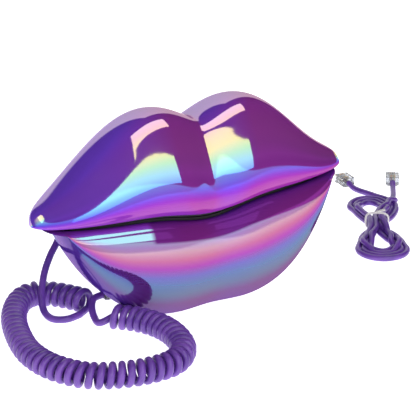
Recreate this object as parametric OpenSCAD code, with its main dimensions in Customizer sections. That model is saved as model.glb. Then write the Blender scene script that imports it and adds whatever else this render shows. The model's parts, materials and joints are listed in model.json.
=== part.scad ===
// Novelty telephone in the shape of a pair of lips.
// The upper lip is the handset and lies on the lower lip, which is the base.
// Origin at the bottom centre, +Z up, front of the mouth towards -Y, sizes in millimetres.

/* [Lips] */
// Half length of the upper lip, tip to middle
upper_half = 110; // [100:1:115]
// Half length of the lower lip
lower_half = 104; // [96:1:106]
// Height of the mouth line above the table
mouth_z = 68; // [66:0.5:72]
// How far the front of the mouth line dips under the cupid's bow
bow_dip = 5.5; // [3:0.5:6]
// Depth of the mouth line in front of the middle plane
mouth_front = 24; // [22:0.5:26]
// Depth of the mouth line behind the middle plane
mouth_back = 34; // [32:0.5:36]
// Height of the upper lip over its lobes, added to the height at the tips
lobe_rise = 52; // [46:1:56]
// Height of the upper lip close to its tips
tip_rise = 16; // [14:1:18]
// Share of the lobe height that is lost in the notch of the bow
notch = 0.4; // [0.3:0.02:0.45]
// How far the upper lip swells forward of the mouth line
upper_swell = 18.5; // [14:0.5:20]
// How far the lower lip swells forward of the mouth line
lower_swell = 12; // [9:0.5:13]
// Gap between the two rims at the middle of the mouth
rim_gap = 4.4; // [4.4:0.1:5]
// Wall of both shells
wall = 2.5; // [2:0.1:2.8]

/* [Keypad] */
// Distance between keys along the handset
key_pitch_x = 11; // [10.5:0.5:12]
// Distance between keys across the handset
key_pitch_y = 12; // [11.5:0.5:12.5]
// Size of a key along the handset
key_l = 7; // [6:0.5:8]
// Size of a key across the handset
key_w = 8.5; // [7:0.5:9]
// How far a key goes in
key_travel = 1.2; // [0.8:0.1:1.2]

/* [Hook] */
// Diameter of the hook plunger
plunger_d = 5.6; // [5:0.1:6]
// How far the plunger rises when the handset is lifted
plunger_travel = 4; // [3:0.5:4]

/* [Cords] */
// Diameter of the handset cord where it is straight
curl_wire_d = 4.4; // [4:0.1:5]
// Outer diameter of its coil
curl_d = 16; // [15:0.5:17]
// Diameter of the line cord
line_d = 4; // [3.5:0.1:4.4]

/* [Hidden] */
$fn = 48;

plated = "rebeccapurple";
cord_colour = "mediumpurple";
black_abs = "#1a1a1e";

// Lip surfaces: stations along X, points round each section
stations = 41;
ring_points = 29;
// Part of the mouth depth that is left at the tips
front_tip = 6;
back_tip = 8;
// Width of the bow's notch, of its dip in the mouth line and of the groove below it
notch_w = 29;
dip_w = 26;
groove_w = 14;
groove = 0.5;
lower_groove = 0.3;
// Forward offset of the crest line
crest_y = -8;
// Bottom of the shell over the table, and how the underside of the lower lip rises
sole_z = 1.8;
heel_rise = 93;
heel_power = 3.5;

// Levels of the mouth
cover_bottom = mouth_z - 2;
cover_top = mouth_z + 1;
plate_top = mouth_z - 2.6;
plate_bottom = mouth_z - 6;
strip_w = 2.4;
strip_in = wall + 0.3;

// Keypad: the place of each key, three to a row, rows counted from the ear end
keypad_y = 5;
KEYS = [for (r = [0:4], c = [0:2])
    [(2 - r) * key_pitch_x, keypad_y + (c - 1) * key_pitch_y]];
key_proud = 1.4;
key_flange = 0.9;

// Receiver, microphone and screws of the handset
ear_x = 66;
mic_x = -50;
cover_screws = [[-84, 4], [84, 4]];
boss_top = 90.2;

// Screwed pillars between the bottom plate and the main board
standoffs = [for (x = [-26, 26], y = [-6, 11]) [x, y]];

// Hook
hook_x = 48;
hook_y = 6;
board_z = 30;
board_t = 1.6;
switch_top = 40.5;
plunger_top = cover_bottom - 0.3;

// Rear panel
panel_y = 29;
panel_t = 2.5;
panel_z = 26;
panel_half = 29;
panel_h = 16;
jack_x = 18;
ringer_knob_x = -6;
dial_knob_x = -21;
knob_travel = 4;

// Cord jacks
handset_jack_x = -66;
handset_jack_y = 30;
handset_jack_z = 75;
base_jack = [-52, 4, 11];
rj9_w = 7.65;
rj9_h = 5.9;
rj11_w = 9.65;
rj11_h = 6.6;
rj11_l = 12.3;

// Routes of the cords, end to end
tail_route = [[-66, 35.9, 75.2], [-66, 42, 74], [-66, 46, 68], [-66, 46, 59], [-68, 43, 48], [-74, 38, 38],
    [-82, 33, 31], [-89, 28, 22], [-95, 20, 12], [-97, 13, 5], [-95, 6, 2.4],
    [-88, 1, 2.4], [-81, 0.5, 2.4], [-75, 2, 2.4]];
coil_route = [[-71, 7, 8], [-76, 16, 8], [-83, 26, 8], [-92, 33, 8], [-102, 31, 8],
    [-112, 21, 8], [-121, 5, 8], [-128, -16, 8], [-132, -39, 8], [-129, -61, 8],
    [-118, -80, 8], [-101, -90, 8], [-83, -94, 8], [-66, -92, 8], [-54, -81, 8],
    [-49, -64, 8], [-50, -47, 8], [-57, -32, 8], [-68, -20, 8]];
base_tail_route = [[-68.8, -19, 8], [-71.5, -12, 8.6], [-72, -4, 9.6], [-68.5, 2.6, 10.8], [-61.4, 4, 11.2]];
// The line cord lies in its own frame: +Y along the hank, towards the plugs
hank_c = [161, 22];
hank_turn = -31;
hank_l = 112;
hank_w = 34;
hank_h = 10;
line_tail_a = [[5, 57.8, 6], [1, 62, 4.3], [-8, 69, 4.3], [-13, 78, 4.3]];
line_tail_b = [[13, 51, 6], [17, 60, 4.3], [18, 70, 4.3], [19, 79, 4.3]];
plug_a_turn = 24;
plug_b_turn = -4;

// ---------------------------------------------------------------- curves

function bump(x, w) = exp(-(x / w) * (x / w));
function crease(x, w) = exp(-pow(abs(x) / w, 1.3));
function fade(s, p) = pow(max(0, 1 - s * s), p);
function tip(s) = sqrt(max(0, 1 - pow(s, 6)));
function mix(a, b, t) = a + (b - a) * t;

// Uniform cubic B-spline with clamped ends: weight of control point i at t
function knot(i, n) = max(0, min(n - 3, i - 3));
function ratio(a, b) = b == 0 ? 0 : a / b;
function weight(i, k, t, n) = k == 0
    ? (t >= knot(i, n) && t < knot(i + 1, n) ? 1 : 0)
    : ratio((t - knot(i, n)) * weight(i, k - 1, t, n), knot(i + k, n) - knot(i, n))
        + ratio((knot(i + k + 1, n) - t) * weight(i + 1, k - 1, t, n),
            knot(i + k + 1, n) - knot(i + 1, n));
section_weights = [for (j = [0:ring_points - 1])
    let (t = min(4.99999, 5 * j / (ring_points - 1))) [for (i = [0:7]) weight(i, 3, t, 8)]];

// The mouth in plan and height
function front_y(x, half) = let (s = abs(x) / half)
    -(front_tip * tip(s) + (mouth_front - front_tip) * fade(s, 0.49));
function back_y(x, half) = let (s = abs(x) / half)
    back_tip * tip(s) + (mouth_back - back_tip) * fade(s, 0.6);
function upper_rim_z(x) = mouth_z - bow_dip * bump(x, dip_w);
function lower_rim_z(x) = upper_rim_z(x) - 2 - (rim_gap - 2) * fade(min(1, abs(x) / upper_half), 1);

// Control points of a section of the upper lip, from the front rim over the top to the back
function upper_controls(x) = let (
    s = abs(x) / upper_half,
    z0 = upper_rim_z(x),
    yf = front_y(x, upper_half),
    yb = back_y(x, upper_half),
    h = tip_rise * tip(s) + bow_dip * bump(x, dip_w)
        + lobe_rise * pow(1 - pow(s, 2.65), 2.73) * (1 - notch * crease(x, notch_w)),
    swell = upper_swell * fade(s, 1.25),
    out = yf - swell * (1 - groove * bump(x, groove_w)),
    crest_out = yf - swell * (1 - groove * crease(x, groove_w)),
    top = crest_y * fade(s, 1))
    [[yf, z0], [mix(yf, out, 0.45), z0 + 0.02 * h], [out, z0 + 0.26 * h],
     [mix(top, crest_out, 0.32), z0 + 0.84 * h], [top, z0 + 1.14 * h],
     [yb * 1.1, z0 + 0.85 * h], [yb * 1.08, z0 + 0.3 * h], [yb, mix(z0, mouth_z, tip(s))]];

// Control points of a section of the lower lip, from the front rim round the sole to the back
function lower_controls(x) = let (
    s = abs(x) / lower_half,
    z0 = lower_rim_z(x),
    yf = front_y(x, lower_half),
    yb = back_y(x, lower_half),
    sole = min(heel_rise * pow(s, heel_power) - 2.6, z0 - 2 * tip(s)),
    h = z0 - sole,
    out = yf - (1.2 * tip(s) + lower_swell * fade(s, 0.35) * (1 - lower_groove * bump(x, 18))),
    toe = -13.5 * fade(s, 0.5) * (1 - lower_groove * bump(x, 18)))
    [[yf, z0], [mix(yf, out, 0.55), z0 - 0.04 * h], [out, z0 - 0.42 * h],
     [mix(toe, out, 0.8), z0 - 0.95 * h], [toe, sole],
     [yb * 0.8, sole], [yb * 1.05, z0 - 0.6 * h], [yb, z0 + (bow_dip * bump(x, dip_w))]];

// A section's points, shrunk by the wall for the inner surface
function section(c, inset, floor_z) = let (
    mid = (c[0][0] + c[7][0]) / 2,
    ky = max(0.3, 1 - 2 * inset / max(0.1, c[7][0] - c[0][0])),
    kz = max(0.3, 1 - inset / max(0.1, abs(c[4][1] - c[0][1]))))
    [for (w = section_weights) let (p = w * c)
        [mid + (p[0] - mid) * ky, max(floor_z, c[0][1] + (p[1] - c[0][1]) * kz)]];

// One skin: every station's points, from tip to tip
function skin(half, inset, upper) = [for (i = [1:stations - 2])
    let (x = (half - inset) * sin(180 * i / (stations - 1) - 90),
         c = upper ? upper_controls(x) : lower_controls(x))
    for (p = section(c, inset, sole_z + inset)) [x, p[0], p[1]]];

function tip_point(half, inset, side, upper) =
    [side * (half - inset), 0, upper ? upper_rim_z(half) : lower_rim_z(half)];

function quad(a, b, c, d) = [[a, b, c], [a, c, d]];
function turned(faces) = [for (f = faces) [f[2], f[1], f[0]]];

// A shell between an outer and an inner skin, joined along the rim
module lip_shell(half, upper) {
    n = stations - 2;
    m = ring_points;
    count = n * m;
    points = concat(skin(half, 0, upper), skin(half, wall, upper),
        [tip_point(half, 0, -1, upper), tip_point(half, 0, 1, upper),
         tip_point(half, wall, -1, upper), tip_point(half, wall, 1, upper)]);
    t = 2 * count;
    outer = [for (i = [0:n - 2], j = [0:m - 2])
        each quad(i * m + j, i * m + j + 1, (i + 1) * m + j + 1, (i + 1) * m + j)];
    inner = [for (f = outer) [f[2] + count, f[1] + count, f[0] + count]];
    tips = [for (j = [0:m - 2]) each [[t, j + 1, j], [t + 1, (n - 1) * m + j, (n - 1) * m + j + 1],
        [t + 2, count + j, count + j + 1],
        [t + 3, count + (n - 1) * m + j + 1, count + (n - 1) * m + j]]];
    rim = [for (i = [0:n - 2]) each concat(
        quad(i * m, (i + 1) * m, (i + 1) * m + count, i * m + count),
        quad((i + 1) * m + m - 1, i * m + m - 1, i * m + m - 1 + count,
            (i + 1) * m + m - 1 + count))];
    tip_rim = concat(quad(t, 0, count, t + 2), quad(m - 1, t, t + 2, count + m - 1),
        quad((n - 1) * m, t + 1, t + 3, count + (n - 1) * m),
        quad(t + 1, n * m - 1, count + n * m - 1, t + 3));
    faces = concat(outer, inner, tips, rim, tip_rim);
    polyhedron(points, upper ? faces : turned(faces), convexity = 6);
}

// A strip along the front rim: from_z and to_z give its lower and upper edge at x
function strip_section(x, y, z0, z1) =
    [[x, y, z0], [x, y + strip_w, z0], [x, y + strip_w, z1], [x, y, z1]];

// Skin between rings of equal length, closed at both ends
module ring_loft(rings) {
    k = len(rings[0]);
    last = (len(rings) - 1) * k;
    sides = [for (i = [0:len(rings) - 2], j = [0:k - 1])
        each quad(i * k + j, (i + 1) * k + j, (i + 1) * k + (j + 1) % k, i * k + (j + 1) % k)];
    caps = [[for (j = [0:k - 1]) j], [for (j = [0:k - 1]) last + k - 1 - j]];
    polyhedron([for (r = rings) each r], concat(sides, caps), convexity = 8);
}

// Catmull-Rom curve through a route's points
function route_at(p, t) = let (
    n = len(p), i = min(n - 2, floor(t)), u = t - i,
    b = p[i], c = p[i + 1],
    a = i > 0 ? p[i - 1] : 2 * b - c,
    d = i < n - 2 ? p[i + 2] : 2 * c - b)
    0.5 * (2 * b + (c - a) * u + (2 * a - 5 * b + 4 * c - d) * u * u
        + (3 * b - a - 3 * c + d) * u * u * u);
function unit(v) = v / norm(v);
function side_of(v) = unit(cross(v, abs(v[2]) > 0.9 * norm(v) ? [0, 1, 0] : [0, 0, 1]));

// Frames carried along a route with no twist
function carried(ts, i) = i == 0 ? side_of(ts[0]) : let (
    q = carried(ts, i - 1)) unit(q - ts[i] * (q * ts[i]));
module tube(route, d, steps, sides) {
    n = len(route) - 1;
    pts = [for (i = [0:n * steps]) route_at(route, i / steps)];
    last = len(pts) - 1;
    ts = [for (i = [0:last]) unit(pts[min(last, i + 1)] - pts[max(0, i - 1)])];
    ring_loft([for (i = [0:last]) let (s = carried(ts, i), u = cross(s, ts[i]))
        [for (k = [0:sides - 1]) let (a = 360 * (k + 0.5) / sides)
            pts[i] + d / 2 * (cos(a) * s + sin(a) * u)]]);
}

// Outline inside the mouth, d inside the rim line, between x -end and +end
function mouth_outline(half, front_in, back_in, end) = let (k = half / (half - 7)) concat(
    [for (x = [-end:end / 16:end]) [x, front_y(x * k, half) + front_in]],
    [for (x = [end:-end / 16:-end]) [x, back_y(x * k, half) - back_in]]);

module rounded_box(size, r) {
    linear_extrude(size[2]) translate([r, r]) union() {
        translate([0, -r]) square([size[0] - 2 * r, size[1]]);
        translate([-r, 0]) square([size[0], size[1] - 2 * r]);
        for (x = [0, size[0] - 2 * r], y = [0, size[1] - 2 * r]) translate([x, y]) circle(r);
    }
}

// ---------------------------------------------------------------- handset

module handset_shell() {
    color(plated) difference() {
        union() {
            lip_shell(upper_half, true);
            for (p = cover_screws) translate([p[0], p[1], cover_top + 0.1])
                cylinder(d = 6.4, h = boss_top - cover_top - 0.1);
        }
        for (p = cover_screws) translate([p[0], p[1], cover_top]) cylinder(d = 3, h = 9);
        translate([handset_jack_x - 5.4, 20, handset_jack_z - 4.9]) cube([10.8, 20, 9.8]);
    }
}

module handset_seam_strip() {
    color(black_abs) ring_loft([for (i = [-20:20]) let (x = 92 * sin(i * 4.5))
        strip_section(x, front_y(x * 1.07, upper_half) + strip_in,
            upper_rim_z(x) - 2.2, mouth_z + 0.8)]);
}

module handset_under_cover() {
    color(black_abs) difference() {
        translate([0, 0, cover_bottom]) linear_extrude(cover_top - cover_bottom)
            polygon(mouth_outline(upper_half, strip_in + strip_w + 0.2, strip_in, 98));
        for (k = KEYS) translate([k[0] - key_l / 2 - 0.35, k[1] - key_w / 2 - 0.35, 50])
            cube([key_l + 0.7, key_w + 0.7, 30]);
        for (a = [0:60:300]) translate([ear_x + 7 * cos(a), 3 + 7 * sin(a), 50])
            cylinder(d = 2.4, h = 30);
        translate([ear_x, 3, 50]) cylinder(d = 2.4, h = 30);
        for (y = [-3, 0, 3]) translate([mic_x - 3, 3 + y - 0.6, 50]) cube([6, 1.2, 30]);
        for (p = cover_screws) translate([p[0], p[1], 50]) {
            cylinder(d = 3.2, h = 30);
            cylinder(d = 6, h = cover_bottom - 48.4);
        }
    }
}

module earpiece() {
    color("dimgray") translate([ear_x, 3, cover_top + 1.2]) {
        cylinder(d = 29, h = 5);
        translate([0, 0, 5]) cylinder(d = 21, h = 3.5);
    }
}

module earpiece_gasket() {
    color("#303034") translate([ear_x, 3, cover_top]) difference() {
        cylinder(d = 29, h = 1.2);
        translate([0, 0, -1]) cylinder(d = 21, h = 4);
    }
}

module microphone() {
    color("silver") translate([mic_x, 3, cover_top + 0.8]) cylinder(d = 9.7, h = 6.5);
}

module microphone_boot() {
    color("#303034") translate([mic_x, 3, cover_top]) difference() {
        cylinder(d = 12.5, h = 8.2);
        translate([0, 0, 0.8]) cylinder(d = 9.9, h = 10);
        for (y = [-3, 0, 3]) translate([-3, y - 0.6, -1]) cube([6, 1.2, 4]);
    }
}

module keypad_membrane() {
    color("gainsboro") translate([-33, keypad_y - 19, cover_top + 2.9]) cube([66, 38, 1.2]);
}

module keypad_board() {
    color("darkgreen") translate([-36, keypad_y - 21, cover_top + 4.3]) difference() {
        cube([72, 42, 1.6]);
        for (x = [4, 68], y = [4, 38]) translate([x, y, -1]) cylinder(d = 3.2, h = 4);
    }
}

module dialler_chip() {
    color("#26262a") translate([-12, keypad_y - 4, cover_top + 5.9]) cube([24, 8, 3.4]);
}

module handset_weight() {
    color("slategray") translate([-22, 2, cover_top + 11]) cube([44, 18, 7]);
}

module handset_jack() {
    color(black_abs) translate([handset_jack_x, handset_jack_y, handset_jack_z])
        difference() {
            translate([-5, -15, -4.5]) cube([10, 15, 9]);
            translate([-4, -12.5, -3.2]) cube([8, 20, 6.4]);
        }
}

// A modular plug along +Y, its cable end at y = l
module modular_plug(w, l, h) {
    difference() {
        translate([-w / 2, 0, -h / 2]) cube([w, l, h]);
        translate([-w / 2 + 1, -1, -h / 2 - 1]) cube([w - 2, 4, 2.6]);
    }
    translate([-1.6, 0.5, -h / 2 - 1]) cube([3.2, l - 2, 1]);
}

module handset_plug() {
    color("whitesmoke") translate([handset_jack_x, handset_jack_y - 11, handset_jack_z + 0.3])
        difference() {
            translate([-rj9_w / 2, 0, -rj9_h / 2]) cube([rj9_w, 16.5, rj9_h]);
            translate([-2.8, -1, -rj9_h / 2 - 1]) cube([5.6, 4, 2.6]);
        }
}

module cover_screw(len) {
    cylinder(d = 2.9, h = len);
    cylinder(d = 5.6, h = 1.4);
}

module handset_screws() {
    color("silver") for (p = cover_screws) translate([p[0], p[1], cover_bottom + 0.1]) cover_screw(9);
}

module key(i) {
    k = KEYS[i];
    colour = i > 11 ? "darkorchid" : "whitesmoke";
    color(colour) translate([k[0], k[1], cover_bottom - key_proud]) {
        translate([-key_l / 2, -key_w / 2, 0]) rounded_box([key_l, key_w, 4.6], 1.5);
        translate([-key_l / 2 - 0.9, -key_w / 2 - 0.9, 4.6])
            cube([key_l + 1.8, key_w + 1.8, key_flange]);
    }
}

// ---------------------------------------------------------------- base

module base_shell() {
    color(plated) difference() {
        lip_shell(lower_half, false);
        translate([-30.4, -10.4, -1]) cube([60.8, 25.8, 9]);
        translate([-panel_half - 0.3, 22, panel_z - panel_h / 2 - 0.3])
            cube([2 * panel_half + 0.6, 20, panel_h + 0.6]);
        translate([base_jack[0] - 14, base_jack[1] - 5.3, base_jack[2] - 4.8])
            cube([20, 10.6, 9.6]);
    }
}

module base_seam_strip() {
    color(black_abs) ring_loft([for (i = [-20:20]) let (x = 88 * sin(i * 4.5))
        strip_section(x, front_y(x * 1.07, lower_half) + strip_in,
            lower_rim_z(x) - 4, min(lower_rim_z(x) + 1.4, upper_rim_z(x) - 2.7))]);
}

module base_top_plate() {
    color(black_abs) difference() {
        translate([0, 0, plate_bottom]) linear_extrude(plate_top - plate_bottom)
            polygon(mouth_outline(lower_half, strip_in + strip_w + 0.9, strip_in + 0.2, 90));
        translate([-33, keypad_y - 19, plate_top - 1.8]) cube([66, 38, 5]);
        translate([hook_x, hook_y, plate_bottom - 1]) cylinder(d = plunger_d + 0.6, h = 10);
    }
}

module base_bottom_plate() {
    color(black_abs) difference() {
        translate([-30, -10, sole_z]) cube([60, 25, 2.5]);
        for (p = standoffs) translate([p[0], p[1], 0]) {
            cylinder(d = 3.2, h = 9);
            cylinder(d = 5.6, h = sole_z + 1.1);
        }
    }
}

module base_feet() {
    color("#303034") for (x = [-18, 18], y = [-6, 11]) translate([x, y, 0])
        cylinder(d = 8, h = sole_z);
}

module base_screws() {
    color("silver") for (p = standoffs) translate([p[0], p[1], 0]) {
        translate([0, 0, sole_z]) cylinder(d = 2.9, h = 10);
        translate([0, 0, sole_z]) cylinder(d = 5.4, h = 1.1);
        translate([0, 0, board_z - 7]) cylinder(d = 2.9, h = 7 + board_t + 0.5);
        translate([0, 0, board_z + board_t]) cylinder(d = 5.4, h = 1.6);
    }
}

module board_standoffs() {
    color("goldenrod") for (p = standoffs) translate([p[0], p[1], sole_z + 2.5]) difference() {
        cylinder(d = 6.4, h = board_z - sole_z - 2.5, $fn = 6);
        translate([0, 0, -1]) cylinder(d = 3, h = board_z);
    }
}

module base_rear_panel() {
    color(black_abs) difference() {
        translate([-panel_half, panel_y, panel_z - panel_h / 2])
            cube([2 * panel_half, panel_t, panel_h]);
        translate([jack_x - 5.9, 20, panel_z - 4.2]) cube([11.8, 20, 8.4]);
        for (x = [ringer_knob_x, dial_knob_x]) translate([x - 4.5, 20, panel_z - 1.8])
            cube([9, 20, 3.6]);
    }
}

module line_jack() {
    color("#232327") translate([jack_x, panel_y, panel_z]) difference() {
        translate([-6.8, -14, -5.6]) cube([13.6, 14, 11.2]);
        translate([-5, -12.4, -3.5]) cube([10, 20, 7]);
    }
}

module slide_switches() {
    color("silver") for (x = [ringer_knob_x, dial_knob_x])
        translate([x - 6, panel_y - 6, panel_z - 3.5]) difference() {
            cube([12, 6, 7]);
            translate([1.5, 3, 1.7]) cube([9, 9, 3.6]);
        }
}

module slide_knob(x) {
    color("whitesmoke") translate([x - 4.2, panel_y - 2.6, panel_z - 1.4]) cube([4, 7, 2.8]);
}
module ringer_switch_knob() slide_knob(ringer_knob_x);
module dial_mode_knob() slide_knob(dial_knob_x);

module main_board() {
    color("darkgreen") difference() {
        translate([-40, -12, board_z]) cube([96, 26.5, board_t]);
        for (p = standoffs) translate([p[0], p[1], board_z - 1]) cylinder(d = 3.2, h = 4);
    }
}

module line_transformer() {
    color("goldenrod") translate([-21, -3, board_z + board_t]) cube([18, 15, 14]);
}

module hook_switch() {
    color("#26262a") translate([hook_x - 7, hook_y - 5, board_z + board_t])
        cube([14, 10, switch_top - board_z - board_t]);
}

module hook_spring() {
    color("silver") translate([hook_x, hook_y, switch_top]) difference() {
        cylinder(d = 8.6, h = 11.5);
        translate([0, 0, -1]) cylinder(d = 6.8, h = 14);
    }
}

module hook_plunger() {
    color("whitesmoke") translate([hook_x, hook_y, 0]) {
        translate([0, 0, switch_top + 0.4]) cylinder(d = plunger_d, h = plunger_top - switch_top - 0.4);
        translate([0, 0, switch_top + 11.5]) cylinder(d = 9, h = 2);
    }
}

module ringer() {
    color("goldenrod") translate([-8, 2, 4.5]) {
        cylinder(d = 28, h = 6);
        translate([0, 0, 6]) cylinder(d = 12, h = 2);
    }
}

module base_weight() {
    color("slategray") translate([7, -8, 4.5]) cube([15, 21, 16]);
}

module base_cord_jack() {
    color(black_abs) translate(base_jack) difference() {
        translate([-2, -5, -4.5]) cube([15, 10, 9]);
        translate([-6, -4, -3.2]) cube([16.5, 8, 6.4]);
    }
}

module base_cord_plug() {
    color("whitesmoke") translate([base_jack[0] - 9, base_jack[1], base_jack[2] + 0.2])
        difference() {
            translate([0, -rj9_w / 2, -rj9_h / 2]) cube([17, rj9_w, rj9_h]);
            translate([14, -2.8, -rj9_h / 2 - 1]) cube([4, 5.6, 2.6]);
        }
}

// ---------------------------------------------------------------- cords

module handset_cord_tail() color(cord_colour) tube(tail_route, curl_wire_d, 2, 8);
module base_cord_tail() color(cord_colour) tube(base_tail_route, curl_wire_d, 2, 8);
module handset_cord_coil() color(cord_colour) tube(coil_route, curl_d, 2, 12);

module at_line_cord() translate([hank_c[0], hank_c[1], 0]) rotate(hank_turn) children();

module line_cord_hank() {
    bend = (hank_l - hank_w) / 2;
    color(cord_colour) at_line_cord() translate([0, 0, 0.2]) linear_extrude(hank_h) union() {
        for (y = [-bend, bend]) translate([0, y]) circle(d = hank_w);
        square([12, 2 * bend], center = true);
        polygon([[-hank_w / 2, -bend], [hank_w / 2, -bend], [6, 0], [hank_w / 2, bend],
            [-hank_w / 2, bend], [-6, 0]]);
    }
}

module line_cord_tail_a() color(cord_colour) at_line_cord() tube(line_tail_a, line_d, 3, 8);
module line_cord_tail_b() color(cord_colour) at_line_cord() tube(line_tail_b, line_d, 3, 8);

// Places a child at a plug: origin where the cord goes in, +Y towards the nose
module at_plug(end, turn) at_line_cord() translate([end[0], end[1] + 0.3, 0]) rotate(turn)
    children();
module line_plug() translate([0, rj11_l, rj11_h / 2 + 1]) rotate([0, 0, 180])
    modular_plug(rj11_w, rj11_l, rj11_h);
module plug_blades() for (k = [-1.5:1:1.5])
    translate([k * 1.02 - 0.18, rj11_l - 2.9, 1.2]) cube([0.36, 2.6, 1.3]);

module line_plug_a() color("whitesmoke") at_plug(line_tail_a[3], plug_a_turn) line_plug();
module line_plug_b() color("whitesmoke") at_plug(line_tail_b[3], plug_b_turn) line_plug();

module line_plug_contacts() color("goldenrod") {
    at_plug(line_tail_a[3], plug_a_turn) plug_blades();
    at_plug(line_tail_b[3], plug_b_turn) plug_blades();
}

module twist_tie() {
    color("white") at_line_cord() translate([0, 0, 0.2 + hank_h / 2]) rotate([90, 0, 0])
        translate([0, 0, -1.5]) linear_extrude(3) difference() {
            square([15.6, hank_h + 0.4 - 0.02], center = true);
            square([13.4, hank_h + 2], center = true);
        }
}

handset_shell();
handset_seam_strip();
handset_under_cover();
earpiece();
earpiece_gasket();
microphone();
microphone_boot();
keypad_membrane();
keypad_board();
dialler_chip();
handset_weight();
handset_jack();
handset_plug();
handset_screws();
key(0);  // key_1
key(1);  // key_2
key(2);  // key_3
key(3);  // key_4
key(4);  // key_5
key(5);  // key_6
key(6);  // key_7
key(7);  // key_8
key(8);  // key_9
key(9);  // key_star
key(10);  // key_0
key(11);  // key_hash
key(12);  // key_redial
key(13);  // key_flash
key(14);  // key_mute
base_shell();
base_seam_strip();
base_top_plate();
base_bottom_plate();
base_rear_panel();
main_board();
board_standoffs();
line_transformer();
hook_switch();
hook_spring();
ringer();
base_weight();
base_feet();
base_screws();
line_jack();
base_cord_jack();
base_cord_plug();
slide_switches();
hook_plunger();
ringer_switch_knob();
dial_mode_knob();
handset_cord_tail();
handset_cord_coil();
base_cord_tail();
line_cord_hank();
line_cord_tail_a();
line_cord_tail_b();
line_plug_a();
line_plug_b();
line_plug_contacts();
twist_tie();
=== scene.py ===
import json
import math

import bmesh
import bpy
import numpy as np
from mathutils import Matrix, Vector

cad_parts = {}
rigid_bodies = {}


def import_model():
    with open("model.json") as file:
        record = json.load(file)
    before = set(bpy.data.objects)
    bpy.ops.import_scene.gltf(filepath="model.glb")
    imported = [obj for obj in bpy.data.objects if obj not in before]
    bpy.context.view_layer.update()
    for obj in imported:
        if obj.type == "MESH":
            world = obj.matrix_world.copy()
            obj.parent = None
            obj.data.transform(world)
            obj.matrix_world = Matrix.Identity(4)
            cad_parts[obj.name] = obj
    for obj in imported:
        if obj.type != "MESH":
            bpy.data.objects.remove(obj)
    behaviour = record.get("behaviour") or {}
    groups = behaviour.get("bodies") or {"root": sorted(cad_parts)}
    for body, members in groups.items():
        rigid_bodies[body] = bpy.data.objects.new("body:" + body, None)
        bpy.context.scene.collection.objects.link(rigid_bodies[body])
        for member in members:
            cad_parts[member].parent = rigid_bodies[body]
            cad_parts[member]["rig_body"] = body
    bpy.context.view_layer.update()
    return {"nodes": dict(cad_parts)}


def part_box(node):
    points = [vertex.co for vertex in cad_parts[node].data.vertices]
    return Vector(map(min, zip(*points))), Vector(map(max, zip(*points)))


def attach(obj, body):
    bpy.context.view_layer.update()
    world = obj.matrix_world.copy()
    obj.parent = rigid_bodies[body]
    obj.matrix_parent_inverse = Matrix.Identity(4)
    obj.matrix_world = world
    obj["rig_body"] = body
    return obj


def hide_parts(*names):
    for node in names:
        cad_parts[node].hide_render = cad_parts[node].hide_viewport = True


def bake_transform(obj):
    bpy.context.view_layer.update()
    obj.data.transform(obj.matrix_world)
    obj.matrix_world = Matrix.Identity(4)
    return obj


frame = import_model()
mm = 0.001

# ---------------------------------------------------------------- camera
# A long lens at the left front, looking down by about 22 degrees, aimed just right of
# the middle of the phone so that the loose cords on both sides stay in view.
heading = math.radians(-31.4)
down = math.radians(21.9)
lens_length, sensor_width = 153.7, 36
camera_distance = 1.1
aim_height, aim_right, aim_lower = 60, 10.4, 2.7
lens_right = Vector((math.cos(heading), math.sin(heading), 0))
lens_ahead = Vector((-math.sin(heading) * math.cos(down), math.cos(heading) * math.cos(down),
    -math.sin(down)))
lens_up = lens_right.cross(lens_ahead)
camera = bpy.data.objects.new("camera", bpy.data.cameras.new("camera"))
camera.data.lens = lens_length
camera.data.sensor_width = sensor_width
spot = (Vector((0, 0, aim_height * mm)) - lens_ahead * camera_distance
    + lens_right * aim_right * mm - lens_up * aim_lower * mm)
turn = Matrix((lens_right, lens_up, -lens_ahead)).transposed()
camera.matrix_world = Matrix.Translation(spot) @ turn.to_4x4()
bpy.context.scene.collection.objects.link(camera)
bpy.context.scene.camera = camera

# ---------------------------------------------------------------- handset cord
# A retractile cord: four tinsel conductors in a purple PVC jacket, wound hot on a
# rod and cooled, so that it keeps its coil. Straight tails run to the two plugs.
cord_d = 4.4
coil_mean_d = 11.6
coil_pitch = 5.5
points_per_turn = 18
tail_meets_coil = [5.2, 2.9, 0]
handset_exit = [-66, 35.9, 75.2]
handset_tail = [handset_exit, [-66, 42, 74], [-66, 46, 68], [-66, 46, 59], [-68, 43, 48],
    [-74, 38, 38], [-82, 33, 31], [-89, 28, 22], [-95, 20, 12], [-97, 13, 5], [-95, 6, 2.3],
    [-88, 1, 2.3], [-79, 2.4, 2.3]]
coil_line = [[-71, 7, 8], [-76, 16, 8], [-83, 26, 8], [-92, 33, 8], [-102, 31, 8],
    [-112, 21, 8], [-121, 5, 8], [-128, -16, 8], [-132, -39, 8], [-129, -61, 8],
    [-118, -80, 8], [-101, -90, 8], [-83, -94, 8], [-66, -92, 8], [-54, -81, 8],
    [-49, -64, 8], [-50, -47, 8], [-57, -32, 8], [-68, -20, 8]]
base_tail = [[-73, -14, 2.3], [-73, -7, 3], [-71.5, -1, 7], [-68, 3, 10.4], [-61.4, 4, 11.2]]


def through(points, each=12):
    """Catmull-Rom curve through the points, in even steps."""
    p = np.array(points, float)
    p = np.vstack([2 * p[0] - p[1], p, 2 * p[-1] - p[-2]])
    out = []
    for a, b, c, d in zip(p, p[1:], p[2:], p[3:]):
        for u in np.arange(each) / each:
            out.append(0.5 * (2 * b + (c - a) * u + (2 * a - 5 * b + 4 * c - d) * u * u
                + (3 * b - a - 3 * c + d) * u ** 3))
    return np.array(out + [p[-2]])


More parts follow.
